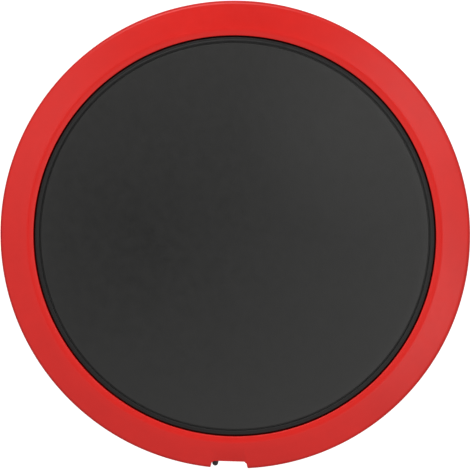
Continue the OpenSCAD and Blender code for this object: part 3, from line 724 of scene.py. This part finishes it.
def make_ferrule():
    radius = FERRULE_HIGH.x
    bore = PLUG_BORE_R
    length = FERRULE_HIGH.y - FERRULE_LOW.y
    outline = [(bore, 0.0), (radius, 0.0)]
    outline += thread_outline(radius, 0.3 * MM, length - 0.9 * MM, 0.75 * MM, 0.22 * MM)
    outline += [(radius - 0.35 * MM, length - 0.1 * MM), (radius - 0.6 * MM, length)]
    outline += [(bore + 0.5 * MM, length), (bore, length - 0.5 * MM)]
    ferrule = lathe("jack_ferrule_threaded", outline, 96)
    z = (FERRULE_LOW.z + FERRULE_HIGH.z) / 2
    along_y(ferrule, 0, FERRULE_HIGH.y, z)
    place(smooth(ferrule, 25), "base", "jack_ferrule")


def make_jack_nut():
    """Hex nut with turned chamfers on both faces."""
    length = NUT_HIGH.y - NUT_LOW.y
    across = NUT_HIGH.x
    corners = [math.radians(60 * k) for k in range(6)]
    hexagon = [(across * math.cos(angle), across * math.sin(angle)) for angle in corners]
    nut = prism("jack_nut_hex", hexagon, 0, length)
    slope = 0.45 * MM
    turned = lathe("turned", [
        (0, 0), (across - 1.0 * MM, 0), (across, slope), (across, length - slope),
        (across - 1.0 * MM, length), (0, length),
    ], 96)
    combine(nut, turned, "INTERSECT")
    bore = FERRULE_HIGH.x + 0.02 * MM
    drill = lathe("drill", [
        (0, -MM), (bore + 0.4 * MM + MM, -MM), (bore, 0.4 * MM), (bore, length - 0.4 * MM),
        (bore + 0.4 * MM + MM, length + MM), (0, length + MM),
    ], 96)
    combine(nut, drill, "DIFFERENCE")
    bevel(nut, 0.08 * MM)
    along_y(nut, 0, NUT_HIGH.y, (NUT_LOW.z + NUT_HIGH.z) / 2)
    place(smooth(nut, 25), "base", "jack_nut")


# ---- wing bolt ----
def along_x(piece, x, y, z):
    """Lays a piece made about Z along +X, with its foot at (x, y, z)."""
    return moved(piece, Matrix.Translation((x, y, z)) @ Matrix.Rotation(math.pi / 2, 4, "Y"))


def bolt_axis():
    return (STUD_LOW.y + STUD_HIGH.y) / 2, (STUD_LOW.z + STUD_HIGH.z) / 2


def make_stud():
    radius = STUD_HIGH.z - bolt_axis()[1]
    length = STUD_HIGH.x - STUD_LOW.x
    shoulder = 2.1 * MM
    pin = 1.5 * MM
    outline = [(0, 0), (pin - 0.3 * MM, 0), (pin, 0.3 * MM), (pin, shoulder), (radius - 0.5 * MM, shoulder)]
    outline += thread_outline(radius, shoulder + 0.5 * MM, length, 1.0 * MM, 0.32 * MM)
    outline += [(0, length)]
    stud = lathe("wing_bolt_threaded_stud", outline, 64)
    along_x(stud, STUD_LOW.x, *bolt_axis())
    place(smooth(stud, 25), "wing_bolt", "wing_bolt_stud")


def make_handle():
    """Moulded wing handle: a waisted hub with two thumb wings blended into it."""
    y, z = bolt_axis()
    start = HANDLE_LOW.x
    length = HANDLE_HIGH.x - start
    reach = HANDLE_HIGH.z - z
    hub = lathe("hub", rounded([
        (0, 0, 0), (5.9 * MM, 0, 0.8 * MM), (6.5 * MM, 2 * MM, 2 * MM), (5.6 * MM, 8 * MM, 6 * MM),
        (6.0 * MM, 13.4 * MM, 2.4 * MM), (0, 14.2 * MM, 0),
    ], 6), 64)
    wings = []
    for side in (1, -1):
        outline = rounded([
            (side * 2.0 * MM, 3.5 * MM, 1 * MM),
            (side * 7.0 * MM, 4.5 * MM, 4 * MM),
            (side * (reach - 0.4 * MM), 10 * MM, 6 * MM),
            (side * reach, length - 0.3 * MM, 4.5 * MM),
            (side * 5.5 * MM, length - 3 * MM, 5 * MM),
            (side * 1.5 * MM, 11 * MM, 2 * MM),
        ], 8)
        wing = prism("wing", outline, -2.3 * MM, 2.3 * MM)
        wings.append(moved(wing, Matrix.Rotation(math.pi / 2, 4, "X")))
    handle = combine(combine(hub, wings[0], "UNION"), wings[1], "UNION")
    handle.name = "wing_handle"
    remesh = handle.modifiers.new("remesh", "REMESH")
    remesh.mode = "VOXEL"
    remesh.voxel_size = 0.3 * MM
    bake(handle)
    soften = handle.modifiers.new("soften", "SMOOTH")
    soften.factor = 0.6
    soften.iterations = 9
    bake(handle)
    drill = lathe("drill", [(0, -MM), (2.97 * MM, -MM), (2.97 * MM, 10.8 * MM), (0, 10.8 * MM)], 64)
    combine(handle, drill, "DIFFERENCE")
    along_x(handle, start, y, z)
    place(smooth(handle, 40), "wing_bolt", "wing_bolt_handle")


# ---- feet ----
def make_feet():
    """Rubber feet with a turned ring in the tread."""
    for k in range(1, 5):
        node = f"foot_{k}"
        low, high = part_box(node)
        radius = (high.x - low.x) / 2
        outline = rounded([
            (0, 0, 0), (radius * 0.45, 0, 0.1 * MM), (radius * 0.5, 0.5 * MM, 0.2 * MM),
            (radius * 0.6, 0.5 * MM, 0.2 * MM), (radius * 0.65, 0, 0.1 * MM),
            (radius, 0, 1.2 * MM), (radius, high.z, 0), (0, high.z, 0),
        ], 5)
        foot = lathe(node + "_moulded", outline, 96)
        moved(foot, Matrix.Translation(((low.x + high.x) / 2, (low.y + high.y) / 2, 0)))
        place(smooth(foot, 40), "base", node)


# ---- pieces that keep the frame's solid, with their edges broken ----
EDGES = {
    "bottom_housing": ("base", 0.35), "base_plate": ("base", 0.35), "clamp_recess": ("base", 0.35),
    "jack_panel": ("base", 0.3), "cord_hook": ("base", 0.4), "base_plate_screws": ("base", 0.1),
    "clamp_block": ("base", 0.6), "jack_body": ("base", 0.25),
    "striker_plate": ("head", 0.3), "piezo_foam_tape": ("head", 0.2), "piezo_brass_disc": ("head", 0.05),
    "piezo_ceramic_disc": ("head", 0.05), "trigger_board": ("base", 0.12), "board_connector": ("base", 0.25),
    "jack_washer": ("base", 0.06), "jack_tip_lug": ("base", 0.08), "jack_tip_spring": ("tip_spring", 0.1),
    "jack_sleeve_contact": ("base", 0.08), "clamp_nut": ("base", 0.35), "clamp_shoe": ("clamp_shoe", 0.4),
    "bezel_screws": ("base", 0.12), "clamp_block_screws": ("base", 0.12), "board_screws": ("base", 0.08),
}


def make_broken_edge_pieces():
    for node, (body, width) in EDGES.items():
        place(broken_edges(node, width * MM), body, node)


# ---- leads ----
# The routes of the leads, in millimetres, end to end
DOT_REACH = 1.35
CONNECTOR = (-32.0, -33.0, 18.6)
LEAD_ROUTES = {
    "piezo_lead_red": [
        (-3, -6, 42.45 - DOT_REACH), (-4, -11, 38.5), (-12, -19, 31), (-24, -28, 27),
        (CONNECTOR[0] - 2, CONNECTOR[1], CONNECTOR[2] + 3),
        (CONNECTOR[0] - 2, CONNECTOR[1], CONNECTOR[2] - 1.5),
    ],
    "piezo_lead_black": [
        (-7, -9, 42.75 - DOT_REACH), (-9, -13, 38), (-15, -20, 29), (-24, -30, 24),
        (CONNECTOR[0] + 2, CONNECTOR[1], CONNECTOR[2] + 3),
        (CONNECTOR[0] + 2, CONNECTOR[1], CONNECTOR[2] - 1.5),
    ],
    "jack_lead_tip": [(0, -69.4, 35.25), (0, -62, 35), (-9, -55, 26), (-18, -50, 17), (-20, -48, 12.2)],
    "jack_lead_sleeve": [(0, -69.4, 22.85), (-3, -63, 22), (-12, -57, 18), (-22, -54, 16), (-24, -52, 12.2)],
}


def spline(route, steps):
    """Points of the smooth curve through a route, in metres."""
    points = [Vector(p) * MM for p in route]
    path = []
    last = len(points) - 1
    for i in range(last):
        p0, p1 = points[max(i - 1, 0)], points[i]
        p2, p3 = points[i + 1], points[min(i + 2, last)]
        for k in range(steps):
            t = k / steps
            path.append(0.5 * (
                2 * p1 + (p2 - p0) * t + (2 * p0 - 5 * p1 + 4 * p2 - p3) * t * t
                + (3 * p1 - p0 - 3 * p2 + p3) * t ** 3
            ))
    return path + [points[last]]


def tube(name, path, radii, across, sides=20):
    """A closed tube along path, with a radius at each point."""
    bm = bmesh.new()
    rings = []
    for i, (point, radius) in enumerate(zip(path, radii)):
        along = (path[min(i + 1, len(path) - 1)] - path[max(i - 1, 0)]).normalized()
        side = along.cross(Vector(across)).normalized()
        up = along.cross(side)
        rings.append([
            bm.verts.new(point + radius * (
                math.cos(2 * math.pi * k / sides) * side + math.sin(2 * math.pi * k / sides) * up
            ))
            for k in range(sides)
        ])
    for ring, after in zip(rings, rings[1:]):
        for k in range(sides):
            bm.faces.new([ring[k], ring[(k + 1) % sides], after[(k + 1) % sides], after[k]])
    bm.faces.new(rings[0])
    bm.faces.new(rings[-1])
    return new_piece(name, bm)


def make_leads():
    """Insulated leads; those of the sensor get meshes of their own."""
    for node, route in LEAD_ROUTES.items():
        path = spline(route, 8)
        bare = 2
        radii = [0.6 * MM if bare <= i < len(path) - bare else 0.35 * MM for i in range(len(path))]
        across = (0.8, -0.6, 0) if node.startswith("piezo") else (0.6, 0.8, 0)  # never along the route
        lead = place(smooth(tube(node + "_wire", path, radii, across), 50), "base", node)
        if node.startswith("piezo"):
            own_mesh(lead)


# ---- CAD solids that stay, with their finish ----
def dress_frame_nodes():
    for node in ("piezo_solder_dots", "board_capacitor", "board_resistors"):
        for held in NODES[node].material_slots:
            held.material = MATERIALS[SLOT_OF[node]]


# ---- stage ----
CAMERA_DISTANCE = 1.40
CAMERA_TILT = math.radians(5.6)
CAMERA_LEAN = math.radians(2.2)
CAMERA_ROLL = math.radians(1.55)
SENSOR = 36.0
LENS = 219.7
CAMERA_SHIFT = (0.0010, 0.0032)
LIGHT_AIM = Vector((0, 0, 0.05))
WORLD_LIGHT = 0.79
PATCH_LIGHT = 0.02
HORIZON_LIGHT = 0.3
NORTH_LIGHT = 0.3
FLOOR_HALF = 3.0
FLOOR_GLOW = 0.7
PAPER_GLOW = 0.95


def make_camera():
    """Looks down on the head, from a little towards the rack rod's side and the right."""
    up = Vector((-math.sin(CAMERA_ROLL), math.cos(CAMERA_ROLL), 0))
    right = Vector((math.cos(CAMERA_ROLL), math.sin(CAMERA_ROLL), 0))
    back = (Vector((0, 0, 1)) + math.tan(CAMERA_TILT) * up + math.tan(CAMERA_LEAN) * right).normalized()
    view_up = back.cross(right).normalized()
    right = view_up.cross(back)
    target = Vector((0, 0, CREST_Z - 5 * MM))
    camera_data = bpy.data.cameras.new("camera")
    camera_data.sensor_width = SENSOR
    camera_data.lens = LENS
    camera_data.shift_x, camera_data.shift_y = CAMERA_SHIFT
    camera_data.clip_end = 20
    camera = bpy.data.objects.new("camera", camera_data)
    turn = Matrix((right, view_up, back)).transposed().to_4x4()
    camera.matrix_world = Matrix.Translation(target + CAMERA_DISTANCE * back) @ turn
    bpy.context.scene.collection.objects.link(camera)
    bpy.context.scene.camera = camera


def softbox(name, place_at, size, power):
    """A soft rectangular light that shines at the pad."""
    data = bpy.data.lights.new(name, "AREA")
    data.shape = "RECTANGLE"
    data.size, data.size_y = size
    data.energy = power
    light = bpy.data.objects.new(name, data)
    light.location = place_at
    light.rotation_euler = (LIGHT_AIM - Vector(place_at)).to_track_quat("-Z", "Y").to_euler()
    bpy.context.scene.collection.objects.link(light)


def world_node(tree, kind, sockets, **settings):
    """The outputs of a new node, whose sockets are linked or set by name or by number."""
    node = tree.nodes.new(kind)
    for name, value in settings.items():
        setattr(node, name, value)
    for key, value in sockets.items():
        if isinstance(value, bpy.types.NodeSocket):
            tree.links.new(value, node.inputs[key])
        else:
            node.inputs[key].default_value = value
    return node.outputs


def world_math(tree, operation, *values):
    return world_node(tree, "ShaderNodeMath", dict(enumerate(values)), operation=operation)["Value"]


def dark_patch(tree, direction, aim, inner, outer):
    """World light that fades towards aim: PATCH_LIGHT within a cosine of inner, all beyond outer."""
    dot = world_node(tree, "ShaderNodeVectorMath", {0: direction, 1: aim}, operation="DOT_PRODUCT")["Value"]
    return world_node(tree, "ShaderNodeMapRange", {
        "Value": dot, "From Min": outer, "From Max": inner, "To Min": WORLD_LIGHT, "To Max": PATCH_LIGHT,
    }, interpolation_type="SMOOTHSTEP")["Result"]


def studio_world():
    """Pale surroundings, brighter in the north and dimmer at the horizon, with two dark patches.

    One patch is straight above, and one is high up in the north, where no card stands.
    """
    world = bpy.data.worlds.new("studio")
    world.use_nodes = True
    tree = world.node_tree
    direction = tree.nodes.new("ShaderNodeTexCoord").outputs["Generated"]
    above = dark_patch(tree, direction, (0, 0, 1), 0.985, 0.93)
    high_north = dark_patch(tree, direction, (0, 0.5, 0.866), 0.94, 0.86)
    parts = world_node(tree, "ShaderNodeSeparateXYZ", {"Vector": direction})
    horizon = world_node(tree, "ShaderNodeMapRange", {
        "Value": parts["Z"], "From Min": 0.0, "From Max": 0.45, "To Min": HORIZON_LIGHT, "To Max": 1.0,
    })["Result"]
    north = world_math(tree, "MULTIPLY_ADD", parts["Y"], NORTH_LIGHT, 1.0)
    dimmed = world_math(tree, "MULTIPLY", world_math(tree, "MINIMUM", above, high_north), horizon)
    background = tree.nodes["Background"]
    background.inputs["Color"].default_value = (1, 1, 1, 1)
    tree.links.new(world_math(tree, "MULTIPLY", dimmed, north), background.inputs["Strength"])
    bpy.context.scene.world = world


def make_floor():
    """White paper that glows under the pad and, for the camera, everywhere. It's clear from below."""
    bm = bmesh.new()
    corners = ((-1, -1), (1, -1), (1, 1), (-1, 1))
    bm.faces.new([bm.verts.new((x * FLOOR_HALF, y * FLOOR_HALF, 0)) for x, y in corners])
    floor = new_piece("floor", bm)
    paper = Surface("floor_paper", rough=0.9, specular=0.1)
    paper.color(paper.mix(paper.noise(0.4, 2), (0.30, 0.30, 0.30), (0.33, 0.33, 0.33)))
    table = paper.remap(paper.radius(), RIM_R - 4 * MM, RIM_R - 12 * MM, 0, FLOOR_GLOW)
    seen = paper.tree.nodes.new("ShaderNodeLightPath").outputs["Is Camera Ray"]
    glow = paper.math("MAXIMUM", table, paper.math("MULTIPLY", seen, PAPER_GLOW))
    paper.shader.inputs["Emission Color"].default_value = (1, 1, 1, 1)
    paper.link(glow, paper.shader.inputs["Emission Strength"])
    behind = paper.tree.nodes.new("ShaderNodeNewGeometry").outputs["Backfacing"]
    clear = paper.tree.nodes.new("ShaderNodeBsdfTransparent").outputs["BSDF"]
    mixer = paper.tree.nodes.new("ShaderNodeMixShader")
    paper.link(behind, mixer.inputs["Fac"])
    paper.link(paper.shader.outputs["BSDF"], mixer.inputs[1])
    paper.link(clear, mixer.inputs[2])
    paper.link(mixer.outputs["Shader"], paper.tree.nodes["Material Output"].inputs["Surface"])
    floor.data.materials.append(paper.material)


def make_stage():
    make_floor()
    studio_world()
    bpy.context.scene.view_settings.view_transform = "Standard"
    softbox("key", (-0.45, 1.85, 0.9), (1.6, 0.4), 15)
    softbox("card_north_east", (0.68, 0.50, 1.35), (0.55, 0.55), 2.2)
    softbox("card_south_east", (0.72, -0.40, 1.3), (0.6, 0.7), 2.2)
    softbox("card_north_west", (-0.72, 0.35, 1.3), (0.6, 0.7), 0.8)


make_stage()
make_camera()
make_rim()
make_head()
make_foam_ring()
make_ferrule()
make_jack_nut()
make_stud()
make_handle()
make_feet()
make_broken_edge_pieces()
make_leads()
dress_frame_nodes()
